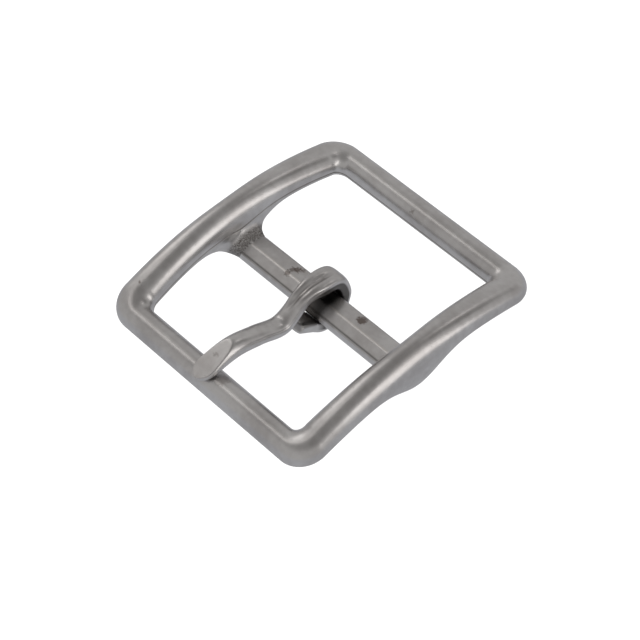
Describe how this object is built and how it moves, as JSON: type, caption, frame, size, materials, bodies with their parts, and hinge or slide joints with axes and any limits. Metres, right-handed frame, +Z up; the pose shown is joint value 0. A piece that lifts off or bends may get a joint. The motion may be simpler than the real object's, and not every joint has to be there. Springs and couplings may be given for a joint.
{
  "type": "belt buckle",
  "caption": "Rectangular centre-bar belt buckle of satin steel, with arched side rails and a curved prong whose open hook turns round the centre bar.",
  "frame": {"origin": "below the middle of the buckle, level with the lowest point of the prong's hook", "axes": "+X along the centre bar, +Y towards the rear bar (the prong's tip points -Y), +Z up through the arched rails"},
  "size_m": [0.0504, 0.0544, 0.0135],
  "materials": {
    "frame_steel": "satin-polished cast stainless steel",
    "prong_steel": "satin-polished cast stainless steel"
  },
  "bodies": {
    "frame": {"frame": "frame_steel"},
    "prong": {"prong": "prong_steel"}
  },
  "joints": [
    {"name": "prong_swing", "type": "hinge", "parent": "frame", "child": "prong", "pos_m": [0, 0, 0.00508], "axis": [-1, 0, 0], "range_deg": [0, 155]}
  ]
}
